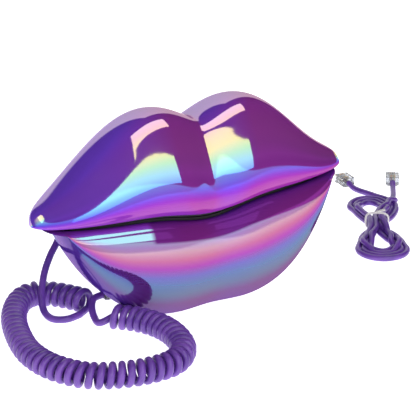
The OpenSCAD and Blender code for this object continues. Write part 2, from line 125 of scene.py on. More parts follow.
def stepped(points, step):
    """The same line with its points a step apart."""
    p = np.asarray(points, float)
    run = np.concatenate([[0], np.cumsum(np.linalg.norm(np.diff(p, axis=0), axis=1))])
    at = np.linspace(0, run[-1], max(2, int(round(run[-1] / step)) + 1))
    return np.column_stack([np.interp(at, run, p[:, k]) for k in range(3)])


def carried_frames(p):
    """Unit tangents of a line and two sides carried along it without twist."""
    t = np.gradient(p, axis=0)
    t /= np.linalg.norm(t, axis=1)[:, None]
    side = np.cross(t[0], [0, 0, 1] if abs(t[0][2]) < 0.9 else [0, 1, 0])
    sides = []
    for d in t:
        side = side - d * (side @ d)
        side /= np.linalg.norm(side)
        sides.append(side)
    s = np.array(sides)
    return t, s, np.cross(s, t)


def swept(name, p, radius, sides):
    """A closed tube along the line. Each end narrows in two rings. Sizes in millimetres."""
    p = np.asarray(p, float)
    t, s, u = carried_frames(p)
    caps = [(-0.9, 0.45), (-0.55, 0.83)]    # place past the end in half radii, and width
    rows = ([p[0] + t[0] * a * radius * 0.5 for a, _ in caps] + list(p)
        + [p[-1] - t[-1] * a * radius * 0.5 for a, _ in caps[::-1]])
    scale = [w for _, w in caps] + [1] * len(p) + [w for _, w in caps[::-1]]
    ring_s = [s[0]] * 2 + list(s) + [s[-1]] * 2
    ring_u = [u[0]] * 2 + list(u) + [u[-1]] * 2
    bm = bmesh.new()
    uv = bm.loops.layers.uv.new("UVMap")
    angles = 2 * math.pi * np.arange(sides) / sides
    rings = [[bm.verts.new(mm * (c + w * radius * (math.cos(a) * x + math.sin(a) * y)))
        for a in angles] for c, w, x, y in zip(rows, scale, ring_s, ring_u)]
    run = 0.0
    for i, (low, high) in enumerate(zip(rings, rings[1:])):
        step = float(np.linalg.norm(rows[i + 1] - rows[i]))
        for k in range(sides):
            nxt = (k + 1) % sides
            face = bm.faces.new((low[k], low[nxt], high[nxt], high[k]))
            face.smooth = True
            corners = ((k, run), (k + 1, run), (k + 1, run + step), (k, run + step))
            for loop, (a, b) in zip(face.loops, corners):
                loop[uv].uv = (a / sides, b * mm)
        run += step
    bm.faces.new(rings[0][::-1]).smooth = True
    bm.faces.new(rings[-1]).smooth = True
    bmesh.ops.recalc_face_normals(bm, faces=bm.faces)
    mesh = bpy.data.meshes.new(name)
    bm.to_mesh(mesh)
    bm.free()
    obj = bpy.data.objects.new(name, mesh)
    bpy.context.scene.collection.objects.link(obj)
    return obj


# Whole turns and a quarter, so that the coil starts at its bottom and ends at its side.
coil_axis = stepped(through(coil_line), coil_pitch / points_per_turn)
axis_t, _, _ = carried_frames(coil_axis)
coil_turns = round(len(coil_axis) / points_per_turn) + 0.25
turned = np.linspace(0, 2 * math.pi * coil_turns, len(coil_axis))
outward = np.cross(axis_t, [0, 0, 1])
outward /= np.linalg.norm(outward, axis=1)[:, None]
helix = coil_axis + coil_mean_d / 2 * (np.sin(turned)[:, None] * outward
    - np.cos(turned)[:, None] * [0, 0, 1])
lead_in = np.vstack([handset_tail, helix[0] - tail_meets_coil, helix[1]])
lead_out = np.vstack([helix[-2], base_tail])
curly_line = np.vstack([stepped(through(lead_in), 1.0)[:-1], helix[1:-2],
    stepped(through(lead_out), 1.0)])


def lin(hex_code):
    """Linear colour from an sRGB hex code."""
    parts = [int(hex_code[i:i + 2], 16) / 255 for i in (0, 2, 4)]
    return [c / 12.92 if c <= 0.04045 else ((c + 0.055) / 1.055) ** 2.4 for c in parts] + [1]


def add(tree, kind, settings=None, feeds=(), **links):
    """Adds a node. Settings are attributes, or values of sockets by name or number. Feeds are
    outputs for its sockets in order, None for a gap, and links are outputs by socket name."""
    node = tree.nodes.new("ShaderNode" + kind)
    for key, value in (settings or {}).items():
        if isinstance(key, int) or key in node.inputs:
            node.inputs[key].default_value = value
        else:
            setattr(node, key, value)
    for number, source in enumerate(feeds):
        if source:
            tree.links.new(source, node.inputs[number])
    for key, source in links.items():
        tree.links.new(source, node.inputs[key.replace("_", " ")])
    return node


def blank(name):
    """A new material with an empty node tree."""
    material = bpy.data.materials.new(name)
    material.use_nodes = True
    material.node_tree.nodes.clear()
    return material, material.node_tree


def finish_surface(tree, bsdf):
    """Joins a shader to the material's output."""
    tree.links.new(bsdf.outputs[0], tree.nodes.new("ShaderNodeOutputMaterial").inputs["Surface"])


# Plasticised PVC, extruded: a satin skin with fine ripples from the die, about 0.7 mm
# apart, and a faint drift in colour over about 11 mm.
cord_pvc, tree = blank("extruded PVC")
place = add(tree, "TexCoord")
drift = add(tree, "TexNoise", {"Scale": 90.0, "Detail": 3.0}, Vector=place.outputs["Object"])
tone = add(tree, "ValToRGB", Fac=drift.outputs["Fac"])
tone.color_ramp.elements[0].color = lin("5b3396")
tone.color_ramp.elements[1].color = lin("7a4bb2")
tone.color_ramp.elements[0].position, tone.color_ramp.elements[1].position = 0.3, 0.72
skin = add(tree, "TexNoise", {"Scale": 1400.0, "Detail": 2.0}, Vector=place.outputs["Object"])
relief = add(tree, "Bump", {"Strength": 0.06, "Distance": 0.0003}, Height=skin.outputs["Fac"])
pvc = add(tree, "BsdfPrincipled", {"Roughness": 0.36, "IOR": 1.53, "Coat Weight": 0.12,
    "Coat Roughness": 0.2}, Base_Color=tone.outputs["Color"], Normal=relief.outputs["Normal"])
finish_surface(tree, pvc)

handset_cord = swept("handset_curly_cord", curly_line, cord_d / 2, 12)
handset_cord.data.materials.append(cord_pvc)
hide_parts("handset_cord_tail", "handset_cord_coil", "base_cord_tail")
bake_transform(handset_cord)

# ---------------------------------------------------------------- line cord
# A four-wire telephone line cord in the same purple PVC, with a plug at each end, wound
# in a hank and tied at the waist. It lies beside the phone, its plugs towards the back.
line_d = 4.0
hank_middle = Vector((161, 22, 0))
hank_turn = Matrix.Rotation(math.radians(-31), 4, "Z")
hank_bend = 40.0
hank_runs = 8
hank_half_width, width_lost_a_run, bend_lost_a_run = 14.6, 0.62, 0.9
first_layer, layer_rise = 2.2, 1.9
waist_share = 0.25
points_a_run, points_a_bend = 23, 11
settling_rounds, sink = 170, 0.12
pull_back, smoothing, push_share, draw_in = 0.02, 0.25, 0.22, 0.3
clearance = line_d * 1.03
waist_half, waist_reach = 4.4, 6.0
tail_a = [[-13, 78, 4.3], [-12, 75.6, 3.9], [-7.5, 69, 2.6], [-1, 63, 3.2], [4, 57.8, 7]]
tail_b = [[15.5, 50, 7], [17.5, 58, 3.4], [18.3, 68, 2.4], [18.9, 76, 3.8], [19, 79, 4.3]]


def wound_hank():
    """Runs down one side and up the other, then settled: the runs keep clear of each
    other and of the table, sink on to each other, and are drawn in at the waist."""
    line = [np.array(p, float) for p in tail_a]
    for k in range(hank_runs):
        going_down = k % 2 == 0
        side = 1 if going_down else -1
        wide = hank_half_width - width_lost_a_run * k
        bend = hank_bend - bend_lost_a_run * k
        lift = first_layer + layer_rise * k
        for v in np.linspace(1, -1, points_a_run):
            v = v if going_down else -v
            spread = min(1, abs(v) * 1.1) ** 1.25
            pinch = waist_share + (1 - waist_share) * spread
            if k == hank_runs - 1 and v > 0:    # the last run crosses over to its plug
                pinch = waist_share - (1 + waist_share) * spread
            line.append(np.array([side * wide * pinch, bend * v, lift]))
        if k < hank_runs - 1:
            for a in np.linspace(0, math.pi, points_a_bend)[1:-1]:
                line.append(np.array([side * (wide - 0.3) * math.cos(a), (-1 if going_down else 1)
                    * (bend + wide * math.sin(a)), lift + layer_rise * a / math.pi]))
    line += [np.array(p, float) for p in tail_b]
    p = stepped(through(line, 4), 3.0)
    laid = p.copy()
    n = len(p)
    apart = np.abs(np.subtract.outer(np.arange(n), np.arange(n))) > 4
    for _ in range(settling_rounds):
        p[:, 2] -= sink
        p[:, :2] += pull_back * (laid[:, :2] - p[:, :2])
        p[1:-1] += smoothing * ((p[:-2] + p[2:]) / 2 - p[1:-1]) * [0.25, 0.25, 1]
        for _ in range(3):
            d = p[:, None] - p[None]
            r = np.sqrt((d ** 2).sum(2)) + 1e-9
            push = np.where(apart & (r < clearance), (clearance - r) / r, 0)[:, :, None] * d
            p += push_share * push.sum(1)
            waist = np.exp(-(p[:, 1] / waist_reach) ** 2)
            outside = np.maximum(0, np.abs(p[:, 0]) - waist_half)
            p[:, 0] -= draw_in * waist * np.sign(p[:, 0]) * outside
            p[:, 2] = np.maximum(p[:, 2], line_d / 2 + 0.1 + 0.7 * waist)
            p[:2], p[-2:] = laid[:2], laid[-2:]
    return stepped(through(p[::2] if n % 2 else np.vstack([p[::2], p[-1:]]), 5), 1.6)


hank_line = wound_hank()
place_hank = Matrix.Translation(hank_middle) @ hank_turn
line_cord_line = np.array([place_hank @ Vector(p) for p in hank_line])
line_cord = swept("line_cord", line_cord_line, line_d / 2, 12)
line_cord.data.materials.append(cord_pvc)
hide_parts("line_cord_hank", "line_cord_tail_a", "line_cord_tail_b")
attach(line_cord, "base")

# The tie: a paper-covered wire, once round the waist, its ends twisted together on top.
tie_r, tie_end_r = 0.75, 0.55
waist_runs = hank_line[np.abs(hank_line[:, 1]) < 2.2]
tie_half = float(np.abs(waist_runs[:, 0]).max()) + line_d / 2 + 0.7
tie_low, tie_high = tie_r, float(waist_runs[:, 2].max()) + line_d / 2 + 0.5
tie_mid, tie_rise = (tie_low + tie_high) / 2, (tie_high - tie_low) / 2
loop = []
for a in np.linspace(0, 2 * math.pi, 49):
    c, s = math.cos(a - math.pi / 2), math.sin(a - math.pi / 2)
    loop.append([tie_half * abs(c) ** 0.6 * np.sign(c), 0.5 * math.sin(a * 2),
        tie_mid - tie_rise * abs(s) ** 0.6 * -np.sign(s)])
tie_ring = swept("hank_tie", [place_hank @ Vector(p) for p in loop], tie_r, 8)
tie_ends = []
for phase in (0, math.pi):
    twist = [place_hank @ Vector((0.8 * math.cos(a + phase) + 0.35 * a,
        0.8 * math.sin(a + phase) + 1.0, tie_high + 0.5 + 0.1 * a))
        for a in np.linspace(0, 4 * math.pi, 40)]
    tie_ends.append(swept("hank_tie_end", twist, tie_end_r, 8))

# White paper over soft wire: dull, with a faint mottle of about 1 mm.
tie_paper, tree = blank("paper covered wire")
place = add(tree, "TexCoord")
fibre = add(tree, "TexNoise", {"Scale": 900.0, "Detail": 4.0}, Vector=place.outputs["Object"])
tone = add(tree, "ValToRGB", Fac=fibre.outputs["Fac"])
tone.color_ramp.elements[0].color, tone.color_ramp.elements[1].color = lin("d9d6d2"), lin("f4f2ee")
relief = add(tree, "Bump", {"Strength": 0.2, "Distance": 0.0002}, Height=fibre.outputs["Fac"])
paper = add(tree, "BsdfPrincipled", {"Roughness": 0.75}, Base_Color=tone.outputs["Color"],
    Normal=relief.outputs["Normal"])
finish_surface(tree, paper)
for piece in [tie_ring] + tie_ends:
    piece.data.materials.append(tie_paper)
    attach(piece, "base")
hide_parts("twist_tie")

# ---------------------------------------------------------------- modular plugs
# Moulded clear polycarbonate bodies with a spring latch, gilt phosphor bronze blades
# and coloured conductors that show through. The line plugs are 9.65 by 12.3 by 6.6 mm.
line_plug = (9.65, 12.3, 6.6)
contact_pitch, contact_places = 1.02, (-1.5, -0.5, 0.5, 1.5)
wire_half, blade_half, latch_half = 0.4, 0.16, 1.6


def solid(name, parts, material_list):
    """A mesh object from bmesh-building calls, in millimetres."""
    bm = bmesh.new()
    for part in parts:
        part(bm)
    bmesh.ops.recalc_face_normals(bm, faces=bm.faces)
    mesh = bpy.data.meshes.new(name)
    bm.to_mesh(mesh)
    bm.free()
    mesh.transform(Matrix.Scale(mm, 4))
    for face in mesh.polygons:
        face.use_smooth = True
    mesh.set_sharp_from_angle(angle=math.radians(35))
    for material in material_list:
        mesh.materials.append(material)
    obj = bpy.data.objects.new(name, mesh)
    bpy.context.scene.collection.objects.link(obj)
    return obj


def block(low, high, edge, finish=0):
    """A box between two corners, its edges rounded, in the material numbered by finish."""
    def build(bm):
        middle, size = (Vector(low) + Vector(high)) / 2, Vector(high) - Vector(low)
        made = bmesh.ops.create_cube(bm, size=1,
            matrix=Matrix.Translation(middle) @ Matrix.Diagonal(size).to_4x4())
        edges = {e for v in made["verts"] for e in v.link_edges}
        before = set(bm.faces) - {f for v in made["verts"] for f in v.link_faces}
        bmesh.ops.bevel(bm, geom=list(edges), offset=edge, segments=3, profile=0.5, affect="EDGES")
        for f in bm.faces:
            if f not in before:
                f.material_index = finish
    return build


# Polycarbonate, injection moulded: clear, with a slight haze and soft ripples 4 mm apart.
clear_pc, tree = blank("clear polycarbonate")
place = add(tree, "TexCoord")
ripple = add(tree, "TexNoise", {"Scale": 260.0, "Detail": 1.0}, Vector=place.outputs["Object"])
relief = add(tree, "Bump", {"Strength": 0.12, "Distance": 0.0004}, Height=ripple.outputs["Fac"])
glassy = add(tree, "BsdfPrincipled", {"Base Color": lin("eef1f6"), "Roughness": 0.06, "IOR": 1.585,
    "Transmission Weight": 0.88}, Normal=relief.outputs["Normal"])
finish_surface(tree, glassy)

# Gold over phosphor bronze, stamped: bright, its tone a little uneven over 1.5 mm.
gilt, tree = blank("gold plated phosphor bronze")
place = add(tree, "TexCoord")
streak = add(tree, "TexNoise", {"Scale": 700.0}, Vector=place.outputs["Object"])
tone = add(tree, "ValToRGB", Fac=streak.outputs["Fac"])
tone.color_ramp.elements[0].color, tone.color_ramp.elements[1].color = lin("b9854a"), lin("e8b878")
metal = add(tree, "BsdfPrincipled", {"Metallic": 1.0, "Roughness": 0.28}, Base_Color=tone.outputs["Color"])
finish_surface(tree, metal)

conductor_colours = {"black": "2a2630", "red": "b23434", "green": "3f8a55", "yellow": "d8b13c"}
conductor_materials = []
for colour, code in conductor_colours.items():
    # Thin PVC insulation, extruded: one colour for each conductor, drifting over 2 mm.
    insulation, tree = blank("conductor PVC " + colour)
    place = add(tree, "TexCoord")
    drift = add(tree, "TexNoise", {"Scale": 500.0}, Vector=place.outputs["Object"])
    darker = [c * 0.75 for c in lin(code)[:3]] + [1]
    tone = add(tree, "MixRGB", {"Color1": lin(code), "Color2": darker}, Fac=drift.outputs["Fac"])
    coat = add(tree, "BsdfPrincipled", {"Roughness": 0.4}, Base_Color=tone.outputs["Color"])
    finish_surface(tree, coat)
    conductor_materials.append(insulation)


def modular_plug(name, width, length, tall, at, low, body, replaced):
    """Plug along +Y in its own frame, cable end at y 0, then placed by a matrix. Its
    latch is underneath, and low is how far its body is raised to lie on it."""
    half = width / 2
    # The back of the body, its nose, its underside, then the latch and the latch's root.
    shell = [
        block([-half, 0, low + 0.9], [half, length - 3.2, low + tall], 0.35),
        block([-half, length - 3.6, low + 0.3], [half, length, low + tall], 0.3),
        block([-half + 1.0, 0.2, low], [half - 1.0, length - 3.4, low + 1.4], 0.25),
        block([-latch_half, 1.8, low - 0.98], [latch_half, length - 0.6, low - 0.3], 0.2),
        block([-latch_half, length - 1.5, low - 0.9], [latch_half, length - 0.5, low + 0.8], 0.2)]
    plug = solid(name, shell, [clear_pc])
    wires = []
    for i, k in enumerate(contact_places):
        wires.append(block([k * contact_pitch - wire_half, 1.2, low + 2.6],
            [k * contact_pitch + wire_half, length - 2.2, low + 3.4], 0.25, i))
    core = solid(name + "_conductors", wires, conductor_materials)
    blades = [block([k * contact_pitch - blade_half, length - 3.3, low + tall - 2.3],
        [k * contact_pitch + blade_half, length - 0.5, low + tall - 0.25], 0.05)
        for k in contact_places]
    # The last block is the bar that grips the cord.
    blades.append(block([-2.2, 3.4, low + tall - 1.6], [2.2, 5.2, low + tall - 0.9], 0.2))
    teeth = solid(name + "_blades", blades, [gilt])
    for piece, slot_name in ((plug, "clear_plug"), (core, "cord_pvc"), (teeth, "brass")):
        piece.matrix_world = at
        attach(piece, body)
    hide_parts(replaced)
    return plug, core, teeth


def in_metres(m):
    """The same placing with its shift turned from millimetres to metres."""
    out = m.copy()
    out.translation = m.translation * mm
    return out


plug_a = modular_plug("line_plug_left", *line_plug, in_metres(place_hank
    @ Matrix.Translation((-13, 78.3, 0)) @ Matrix.Rotation(math.radians(24), 4, "Z")),
    1.0, "base", "line_plug_a")
plug_b = modular_plug("line_plug_right", *line_plug, in_metres(place_hank
    @ Matrix.Translation((19, 79.3, 0)) @ Matrix.Rotation(math.radians(-4), 4, "Z")),
    1.0, "base", "line_plug_b")
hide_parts("line_plug_contacts")
modular_plug("handset_cord_plug", 7.65, 16.5, 5.9,
    in_metres(Matrix.Translation((-66, 35.5, 72.35)) @ Matrix.Rotation(math.pi, 4, "Z")),
    0.0, "handset", "handset_plug")
modular_plug("base_cord_plug_body", 7.65, 17, 5.9,
    in_metres(Matrix.Translation((-61, 4, 8.25)) @ Matrix.Rotation(-math.pi / 2, 4, "Z")),
    0.0, "base", "base_cord_plug")

# ---------------------------------------------------------------- lip shells
# Two injection-moulded ABS shells, 2.5 mm thick: the upper lip is the handset and the
# lower lip the base. Both are plated, then lacquered purple with an interference coat.
upper_half, lower_half = 110.0, 104.0
mouth_z, bow_dip = 68.0, 5.5
mouth_front, mouth_back = 24.0, 34.0
front_tip, back_tip = 6.0, 8.0
lobe_rise, tip_rise, notch = 52.0, 16.0, 0.4
upper_swell, lower_swell = 18.5, 12.0
rim_gap, wall, crest_y, sole_z = 4.4, 2.5, -8.0, 1.8
notch_w, dip_w, groove_w, groove = 29.0, 26.0, 14.0, 0.5
lower_groove_w, lower_groove = 18, 0.3
tip_lift, tip_curve, sole_drop = 93, 3.5, 2.6
stations, round_points = 181, 97


def bump(x, w): return math.exp(-(x / w) ** 2)
def crease(x, w): return math.exp(-(abs(x) / w) ** 1.3)
def fade(s, p): return max(0.0, 1 - s * s) ** p
def tip(s): return math.sqrt(max(0.0, 1 - s ** 6))
def mix(a, b, t): return a + (b - a) * t


def front_y(x, half):
    s = abs(x) / half
    return -(front_tip * tip(s) + (mouth_front - front_tip) * fade(s, 0.49))


def back_y(x, half):
    s = abs(x) / half
    return back_tip * tip(s) + (mouth_back - back_tip) * fade(s, 0.6)


def upper_rim(x): return mouth_z - bow_dip * bump(x, dip_w)
def lower_rim(x): return upper_rim(x) - 2 - (rim_gap - 2) * fade(min(1, abs(x) / upper_half), 1)


def upper_controls(x):
    s, z0 = abs(x) / upper_half, upper_rim(x)
    yf, yb = front_y(x, upper_half), back_y(x, upper_half)
    h = tip_rise * tip(s) + bow_dip * bump(x, dip_w) \
        + lobe_rise * max(0.0, 1 - s ** 2.65) ** 2.73 * (1 - notch * crease(x, notch_w))
    swell = upper_swell * fade(s, 1.25)
    out = yf - swell * (1 - groove * bump(x, groove_w))
    crest_out = yf - swell * (1 - groove * crease(x, groove_w))
    top = crest_y * fade(s, 1)
    return [[yf, z0], [mix(yf, out, 0.45), z0 + 0.02 * h], [out, z0 + 0.26 * h],
        [mix(top, crest_out, 0.32), z0 + 0.84 * h], [top, z0 + 1.14 * h], [yb * 1.1, z0 + 0.85 * h],
        [yb * 1.08, z0 + 0.3 * h], [yb, mix(z0, mouth_z, tip(s))]]


def lower_controls(x):
    s, z0 = abs(x) / lower_half, lower_rim(x)
    yf, yb = front_y(x, lower_half), back_y(x, lower_half)
    sole = min(tip_lift * s ** tip_curve - sole_drop, z0 - 2 * tip(s))
    h = z0 - sole
    out = yf - (1.2 * tip(s) + lower_swell * fade(s, 0.35) * (1 - lower_groove * bump(x, lower_groove_w)))
    toe = -13.5 * fade(s, 0.5) * (1 - lower_groove * bump(x, lower_groove_w))
    return [[yf, z0], [mix(yf, out, 0.55), z0 - 0.04 * h], [out, z0 - 0.42 * h],
        [mix(toe, out, 0.8), z0 - 0.95 * h], [toe, sole], [yb * 0.8, sole],
        [yb * 1.05, z0 - 0.6 * h], [yb, z0 + bow_dip * bump(x, dip_w)]]


def spline_weights(count):
    """Clamped cubic B-spline: the weight of each of eight control points along a section."""
    knots = [max(0, min(5, i - 3)) for i in range(12)]
    rows = []
    for t in np.linspace(0, 5, count).clip(0, 4.99999):
        w = [1.0 if knots[i] <= t < knots[i + 1] else 0.0 for i in range(11)]
        for k in (1, 2, 3):
            w = [(w[i] * (t - knots[i]) / (knots[i + k] - knots[i]) if knots[i + k] > knots[i] else 0)
                + (w[i + 1] * (knots[i + k + 1] - t) / (knots[i + k + 1] - knots[i + 1])
                    if knots[i + k + 1] > knots[i + 1] else 0) for i in range(11 - k)]
        rows.append(w[:8])
    return np.array(rows)


section_weights = spline_weights(round_points)


def lip_section(c, inset, floor):
    """A section of the outer skin, or of the inner one when inset by the wall."""
    c = np.array(c, float)
    p = section_weights @ c
    mid = (c[0][0] + c[7][0]) / 2
    ky = max(0.3, 1 - 2 * inset / max(0.1, c[7][0] - c[0][0]))
    kz = max(0.3, 1 - inset / max(0.1, abs(c[4][1] - c[0][1])))
    return np.column_stack([mid + (p[:, 0] - mid) * ky,
        np.maximum(floor, c[0][1] + (p[:, 1] - c[0][1]) * kz)])


def lip_shell(name, half, controls, extra=()):
    """Closed shell: rings that run round the outer skin and back along the inner one,
    with the four rim corners rounded. UV u is the place along the lip, v round it."""
    bm = bmesh.new()
    uv = bm.loops.layers.uv.new("UVMap")
    v_of = np.concatenate([np.linspace(0, 1, round_points), np.linspace(1, 0, round_points)])
    corner = 0.45
    rings, places = [], []
    for i in range(stations):
        tau = 2 * i / (stations - 1) - 1
        theta = math.pi / 2 * (0.5 * tau + 0.5 * tau * abs(tau))
        x_out, x_in = half * math.sin(theta), (half - wall) * math.sin(theta)
        o = lip_section(controls(x_out), 0, sole_z)
        n = lip_section(controls(x_in), wall, sole_z + wall)
        ring = np.vstack([np.column_stack([np.full(len(o), x_out), o]),
            np.column_stack([np.full(len(n), x_in), n])[::-1]])
        last = len(ring)
        done, vs = [], []
        for j in range(last):
            if j in (0, round_points - 1, round_points, last - 1):
                c, a, b = ring[j], ring[j - 1], ring[(j + 1) % last]
                la, lb = np.linalg.norm(a - c), np.linalg.norm(b - c)
                da = (a - c) * min(1, corner / max(la, 1e-9)) * (la > 1e-6)
                db = (b - c) * min(1, corner / max(lb, 1e-9)) * (lb > 1e-6)
                done += [c + da * 0.95, c + 0.3 * (da + db), c + db * 0.95]
                vs += [v_of[j]] * 3
            else:
                done.append(ring[j])
                vs.append(v_of[j])
        rings.append([bm.verts.new(p) for p in done])
        places.append((0.5 + 0.5 * math.sin(theta), vs))
    size = len(rings[0])
    for (low, (u0, vs)), (high, (u1, _)) in zip(zip(rings, places), zip(rings[1:], places[1:])):
        for k in range(size):
            nxt = (k + 1) % size
            face = bm.faces.new((low[k], low[nxt], high[nxt], high[k]))
            corners = ((u0, vs[k]), (u0, vs[nxt]), (u1, vs[nxt]), (u1, vs[k]))
            for loop, place_uv in zip(face.loops, corners):
                loop[uv].uv = place_uv
    for ring in (rings[0], rings[-1]):
        half_ring = size // 2
        for k in range(half_ring - 1):
            bm.faces.new((ring[k], ring[k + 1], ring[size - 2 - k], ring[size - 1 - k]))
    bmesh.ops.remove_doubles(bm, verts=bm.verts, dist=0.003)
    bmesh.ops.dissolve_degenerate(bm, edges=bm.edges, dist=0.0005)
    for part in extra:
        part(bm)
    bmesh.ops.recalc_face_normals(bm, faces=bm.faces)
    mesh = bpy.data.meshes.new(name)
    bm.to_mesh(mesh)
    bm.free()
    mesh.transform(Matrix.Scale(mm, 4))
    obj = bpy.data.objects.new(name, mesh)
    bpy.context.scene.collection.objects.link(obj)
    return obj


def cut_out(obj, boxes):
    """Takes rounded boxes out of a shell."""
    cutters = []
    for low, high in boxes:
        cutter = solid("cutter", [block(low, high, 0.8)], [])
        cutters.append(cutter)
        change = obj.modifiers.new("opening", "BOOLEAN")
        change.operation, change.object, change.solver = "DIFFERENCE", cutter, "EXACT"
    graph = bpy.context.evaluated_depsgraph_get()
    mesh = bpy.data.meshes.new_from_object(obj.evaluated_get(graph))
    obj.modifiers.clear()
    obj.data = mesh
    for cutter in cutters:
        bpy.data.objects.remove(cutter)
    for face in mesh.polygons:
        face.use_smooth = True
    mesh.set_sharp_from_angle(angle=math.radians(40))


def boss(x, y, z0, z1, outer, bore):
    """A screw boss: a tube with a bore up its middle."""
    def build(bm):
        rows = [(bore, z0), (outer, z0), (outer, z1), (0.4, z1), (bore, z1 - 2)]
        rings = [[bm.verts.new((x + r * math.cos(a), y + r * math.sin(a), z))
            for a in np.linspace(0, 2 * math.pi, 33)[:-1]] for r, z in rows]
        for a, b in zip(rings, rings[1:] + rings[:1]):
            for k in range(32):
                bm.faces.new((a[k], a[(k + 1) % 32], b[(k + 1) % 32], b[k]))
    return build


def plated(name, stops, purple, sheen_colour, shade_share=0.0, rim_shade_from=2.0):
    """Plated ABS under purple lacquer and an interference coat: a purple body with a strong
    mirror over it, whose tint runs through a rainbow round the lip. The IOR is set high
    because the metal under the lacquer reflects more than plastic does."""
    material, tree = blank(name)
    where = add(tree, "UVMap")
    along = add(tree, "SeparateXYZ", Vector=where.outputs["UV"])
    place = add(tree, "TexCoord")
    # The film's bands wander a little, over about 110 mm, as the lacquer flowed.
    flow = add(tree, "TexNoise", {"Scale": 9.0, "Detail": 2.0}, Vector=place.outputs["Object"])
    wander = add(tree, "MapRange", {"From Min": 0.3, "From Max": 0.7, "To Min": -0.012,
        "To Max": 0.012}, Value=flow.outputs["Fac"])
    bent = add(tree, "Math", {"operation": "ADD"}, (along.outputs["Y"], wander.outputs["Result"]))
    film = add(tree, "ValToRGB", Fac=bent.outputs["Value"])
    ramp = film.color_ramp
    while len(ramp.elements) > 1:
        ramp.elements.remove(ramp.elements[-1])
    ramp.elements[0].position, ramp.elements[0].color = stops[0][0], lin(stops[0][1])
    for at, code in stops[1:]:
        ramp.elements.new(at).color = lin(code)
    # Painted shade: near the front rim, where v is below a tenth, the film's tint is darkened past the given
    # place along the lip, and the body colour is darkened there too. It stands for the shade and dim
    # reflection under the overhanging handset.
    past = add(tree, "MapRange", {"From Min": rim_shade_from, "From Max": rim_shade_from + 0.015}, Value=along.outputs["X"])
    near_rim = add(tree, "MapRange", {"From Min": 0.098, "From Max": 0.108, "To Min": 1.0,
        "To Max": 0.0}, Value=bent.outputs["Value"])
    rim_shade = add(tree, "Math", {"operation": "MULTIPLY"},
        (past.outputs["Result"], near_rim.outputs["Result"]))
    coat = add(tree, "MixRGB", {"Color2": lin("3a1848")}, Fac=rim_shade.outputs["Value"],
        Color1=film.outputs["Color"])
    # Painted sheen: the body colour goes from purple to the second colour as the surface turns to face the
    # right end, a fixed stand-in for the coat's hue that changes with the angle of view.
    facing = add(tree, "VectorMath", {"operation": "DOT_PRODUCT", 1: (0.95, -0.3, 0.0)},
        (place.outputs["Normal"],))
    sheen_facing = add(tree, "MapRange", {"From Min": -0.5, "From Max": 0.35}, Value=facing.outputs["Value"])
    painted_sheen_body = add(tree, "MixRGB", {"Color1": lin(purple), "Color2": lin(sheen_colour)},
        Fac=sheen_facing.outputs["Result"])
    # Painted shade: further from the rim, where the lip turns down and away from the lamps, the body colour
    # is darkened by the given share.
    lower_shade = add(tree, "MapRange", {"From Min": 0.11, "From Max": 0.22, "To Max": shade_share},
        Value=along.outputs["Y"])
    shaded_body = add(tree, "MixRGB", {"Color2": lin("14101c")}, Fac=lower_shade.outputs["Result"],
        Color1=painted_sheen_body.outputs["Color"])
    rim_shade_on_body = add(tree, "MapRange", {"To Max": 0.58}, Value=rim_shade.outputs["Value"])
    body = add(tree, "MixRGB", {"Color2": lin("0a0410")}, Fac=rim_shade_on_body.outputs["Result"],
        Color1=shaded_body.outputs["Color"])
    # The lacquer's orange peel is about 4 mm across; it only shows as a slight waviness.
    peel = add(tree, "TexNoise", {"Scale": 260.0, "Detail": 1.0}, Vector=place.outputs["Object"])
    relief = add(tree, "Bump", {"Strength": 0.02, "Distance": 0.0004}, Height=peel.outputs["Fac"])
    surface = add(tree, "BsdfPrincipled", {"Roughness": 0.05, "IOR": 3.0, "Specular IOR Level": 1.0},
        Base_Color=body.outputs["Color"], Specular_Tint=coat.outputs["Color"],
        Normal=relief.outputs["Normal"])
    finish_surface(tree, surface)
    return material


# Lacquer purple and the painted sheen colour, then the film tints as v goes from the front rim, over the
# outside of the lip, to the back rim.
lacquer_purple, lacquer_sheen_colour = "7440dc", "94309c"
upper_plating = plated("plated ABS upper lip", [(0.0, "5a2c70"), (0.05, "7c4a78"), (0.10, "946478"),
    (0.14, "80506c"), (0.162, "5c2c84"), (0.185, "3c48b8"), (0.21, "3078e8"), (0.245, "54acf4"),
    (0.28, "80e0dc"), (0.32, "a8f0a0"), (0.365, "f0f07c"), (0.42, "f6e494"), (0.46, "f4ccae"),
    (0.51, "e8c8d0"), (0.62, "dcc8c8"), (0.78, "d4c4cc"), (1.0, "9a6ac8")],
    lacquer_purple, lacquer_sheen_colour)
# Painted shade on the lower lip: its rim band is darkened right of its left end, and its body is darkened
# below the rim band.
lower_plating = plated("plated ABS lower lip", [(0.0, "8a52b0"), (0.03, "9ae8d8"), (0.085, "96ecdc"),
    (0.115, "a0b4b0"), (0.14, "ccb09c"), (0.17, "d0808c"), (0.2, "b85cb8"), (0.235, "7c88d4"),
    (0.27, "649cc0"), (0.31, "6c98a4"), (0.36, "80708c"), (0.5, "7c6898"), (0.7, "b090c8"),
    (0.85, "90b8d8"), (1.0, "9a6ac8")],
    lacquer_purple, lacquer_sheen_colour, shade_share=0.7, rim_shade_from=0.285)
handset_lip = lip_shell("upper_lip_shell", upper_half, upper_controls,
    [boss(x, 4, 69.1, 88.8, 3.2, 1.5) for x in (-84, 84)])
handset_socket = ([-71.4, 20, 70.1], [-60.6, 40, 79.9])
cut_out(handset_lip, [handset_socket])
handset_lip.data.materials.append(upper_plating)
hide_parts("handset_shell")
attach(handset_lip, "handset")
base_lip = lip_shell("lower_lip_shell", lower_half, lower_controls)
bottom_opening = ([-30.4, -10.4, -3], [30.4, 15.4, 8])
rear_opening = ([-29.3, 22, 17.7], [29.3, 44, 34.3])
base_socket = ([-68, -1.3, 6.2], [-46, 9.3, 15.8])
cut_out(base_lip, [bottom_opening, rear_opening, base_socket])
